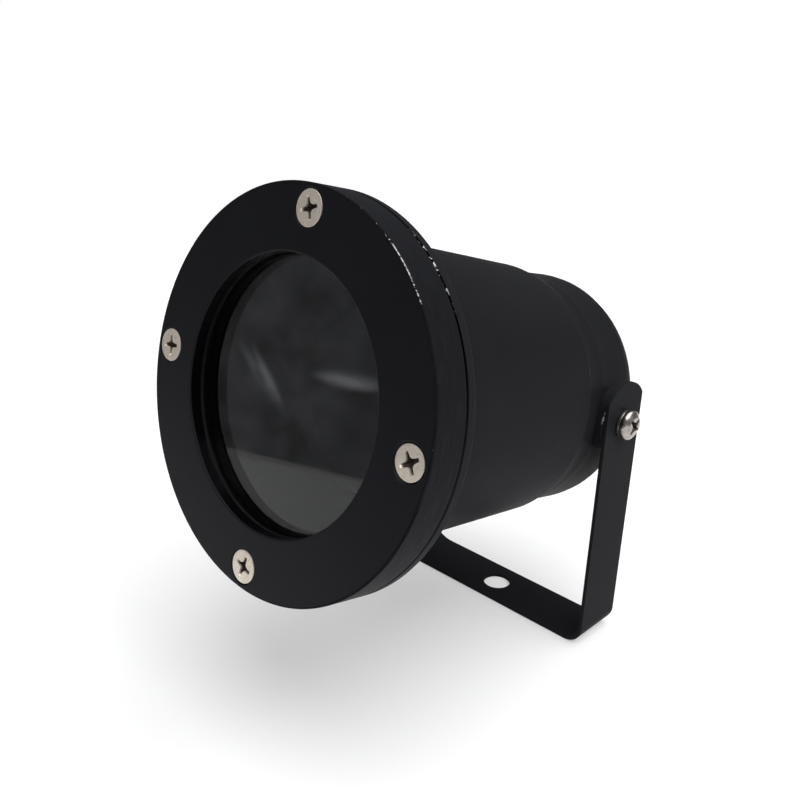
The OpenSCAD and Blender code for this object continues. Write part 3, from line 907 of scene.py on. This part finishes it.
def dress_inside():
    """Gives each carried-over CAD node its material."""
    finishes = {
        "gland_lock_nut": plain("nylon_inside", (0.02, 0.02, 0.021), 0.5),
        "lamp_holder": plain("steatite", (0.6, 0.57, 0.5), 0.75, grain=0.5, scale=2200),
        "holder_contacts": plain("brass_contact", BRASS, 0.3, 1.0),
        "holder_bracket": plain("zinc_sheet", (0.55, 0.57, 0.6), 0.35, 1.0, scale=700),
        "holder_screws": plain("zinc_screw", (0.6, 0.6, 0.58), 0.32, 1.0, scale=900),
        "holder_leads": plain("silicone_sleeve", (0.6, 0.58, 0.52), 0.6),
        "terminal_block": plain("terminal_nylon", (0.7, 0.68, 0.6), 0.45),
        "terminal_clamps": plain("brass_clamp", BRASS, 0.35, 1.0),
        "lamp_pins": plain("pin_nickel", (0.65, 0.62, 0.58), 0.3, 1.0),
        "lamp_driver_case": plain("lamp_case", (0.6, 0.59, 0.55), 0.5),
        "lamp_heat_sink": plain("sink_aluminium", (0.28, 0.29, 0.3), 0.5, 1.0, scale=900),
        "lamp_led_board": plain("board_mask", (0.012, 0.013, 0.014), 0.5),
        "lamp_emitters": plain("phosphor", (0.62, 0.48, 0.1), 0.35),
        # Painted shade: lens and bezel near-black and without gloss, so the lamp reads dark
        # through the glass.
        "lamp_lens": plain("lens_painted_shade", LAMP_SHADE_BLACK, 0.7, grain=0.05, scale=300, sheen=0.0),
        "lamp_bezel": plain("bezel_painted_shade", LAMP_SHADE_BLACK, 0.7, grain=0.05, sheen=0.0),
    }
    for node, material in finishes.items():
        obj = frame["nodes"][node]
        if obj.material_slots:
            for slot in obj.material_slots:
                slot.material = material
        else:
            obj.data.materials.append(material)


# --- stage, light and camera ---------------------------------------------------

TABLE = ((-0.54, 0.42, 0), (-0.09, -1.23, 0), (1.6, -0.9, 0), (1.3, 1.9, 0), (-0.94, 1.9, 0))


def stage():
    """Pale table, faintly lit from below; its near left edge shows in the glass."""
    g = Graph(bpy.data.materials.new("paper"))
    tone = g.span(g.noise(3, 3), 0.3, 0.7)
    y = g.axes()[1]
    shade = g.fall(y, -250, -150)
    white = g.mix(tone, (0.61, 0.61, 0.61), (0.63, 0.63, 0.63))
    paper = g.finish(Base_Color=g.mix(shade, white, (0.3, 0.3, 0.3)), Roughness=0.9,
                     Emission_Color=g.mix(shade, (1, 1, 1), (0.45, 0.45, 0.45)),
                     Emission_Strength=0.34)
    bm = bmesh.new()
    bm.faces.new([bm.verts.new(c) for c in TABLE])
    floor = from_bmesh("floor", bm)
    floor.data.materials.append(paper)


def direction(azimuth, elevation):
    """Unit vector from an azimuth measured from +X towards +Y, and an elevation, in degrees."""
    a, e = math.radians(azimuth), math.radians(elevation)
    return Vector((math.cos(a) * math.cos(e), math.sin(a) * math.cos(e), math.sin(e)))


def glow(g, start, end, half_width):
    """Soft bright streak in the room between two directions."""
    first, last = direction(*start), direction(*end)
    middle = (first + last).normalized()
    along = (last - first).normalized()
    reach = (last - first).length / 2 + half_width
    aside = middle.cross(along)
    parts = []
    for axis, size in ((along, reach), (aside, half_width)):
        dot = g.tree.nodes.new("ShaderNodeVectorMath")
        dot.operation = "DOT_PRODUCT"
        g.feed(dot.inputs[0], g.place)
        dot.inputs[1].default_value = axis
        offset = g.math("SUBTRACT", dot.outputs["Value"], middle.dot(axis))
        scaled = g.math("DIVIDE", offset, size)
        parts.append(scaled)
    return g.fall(g.length(*parts), 0.15, 1.0)


def world():
    """White behind the object, and a dim room with two far windows round it."""
    room = bpy.data.worlds.new("room")
    bpy.context.scene.world = room
    g = Graph(room, "ShaderNodeBackground", "ShaderNodeOutputWorld", "Generated")
    clouds = g.span(g.noise(22, 4, 0.6), 0.3, 0.7, ROOM_LIGHT * 0.7, ROOM_LIGHT * 1.35)
    windows = g.plus(g.times(glow(g, (-140.0, -2.4), (-136.7, -5.7), 0.0065), 0.75),
                     g.times(glow(g, (-135.8, -2.9), (-131.0, -2.5), 0.0095), 0.85))
    seen = g.tree.nodes.new("ShaderNodeLightPath").outputs["Is Camera Ray"]
    g.finish(Color=g.mix(seen, (0.97, 0.98, 1.04), (1, 1, 1)),
             Strength=g.blend(seen, g.plus(clouds, windows), 1.0))


def area_light(name, place, target, size, power):
    """Square lamp panel facing the target."""
    data = bpy.data.lights.new(name, "AREA")
    data.size = size
    data.energy = power
    obj = make_object(name, data)
    obj.location = place
    obj.rotation_euler = (Vector(target) - Vector(place)).to_track_quat("-Z", "Y").to_euler()


def sky_light(towards, strength, spread):
    """Even light from above, so that the whole table is equally bright."""
    data = bpy.data.lights.new("sky", "SUN")
    data.energy = strength
    data.angle = math.radians(spread)
    obj = make_object("sky", data)
    obj.rotation_euler = Vector(towards).to_track_quat("Z", "Y").to_euler()


def camera():
    """Camera at the photograph's angle, a little rolled."""
    azimuth, elevation, roll = math.radians(43.52), math.radians(21.37), math.radians(1.95)
    distance = 221.98 * MM
    target = Vector((-0.85, -45.3, 72.48)) * MM
    back = Vector((math.sin(azimuth) * math.cos(elevation),
                   -math.cos(azimuth) * math.cos(elevation), math.sin(elevation)))
    right = Vector((math.cos(azimuth), math.sin(azimuth), 0))
    up = back.cross(right)
    across = right * math.cos(roll) + up * math.sin(roll)
    above = -right * math.sin(roll) + up * math.cos(roll)
    data = bpy.data.cameras.new("camera")
    data.sensor_width = 36
    data.lens = 40.48
    data.clip_start = 0.01
    obj = make_object("camera", data)
    place = Matrix.Translation(target + back * distance)
    obj.matrix_world = place @ Matrix((across, above, back)).transposed().to_4x4()
    bpy.context.scene.camera = obj


bpy.context.scene.view_settings.view_transform = "Standard"
camera()
world()
stage()
sky_light((0.25, 0.12, 1.0), 3.5, 75)
area_light("softbox", (0.75, 0.05, 0.75), (0, -0.03, 0.05), 0.5, 2)

front_ring(coat("ring_powder", RING_BLACK, wear_and_highlight=ring_wear_and_highlight,
                layers=(brushed_side_with_highlight(0.6), dull_edge_and_seam_shade, smooth_bore_with_shade)))
ring_screws(nickel("ring_nickel", (0.86, 0.77, 0.65), metallic=0.5, face=0.0))
glass_and_gaskets(clear("window_glass"), plain("gasket", (0.008,) * 3, 0.6, sheen=0.15))
housing(coat("housing_powder", HOUSING_BLACK, sheen=HOUSING_SHEEN, wear_and_highlight=flange_wear,
             layers=(brushed_side_with_highlight(0.45), dull_edge_and_seam_shade, dull_step, painted_inside_shade)))
bracket(coat("bracket_paint", BRACKET_BLACK, 0.42, grain=0.25, sheen=BRACKET_SHEEN))
pivot_hardware(nickel("pivot_nickel", (0.4, 0.37, 0.34), 0.22, face=PAN_HEAD_H),
               nickel("washer_plate", (0.55, 0.53, 0.5)))
gland(plain("gland_moulding", (0.016, 0.016, 0.017), 0.45),
      plain("soft_rubber", (0.012,) * 3, 0.65))
dress_inside()
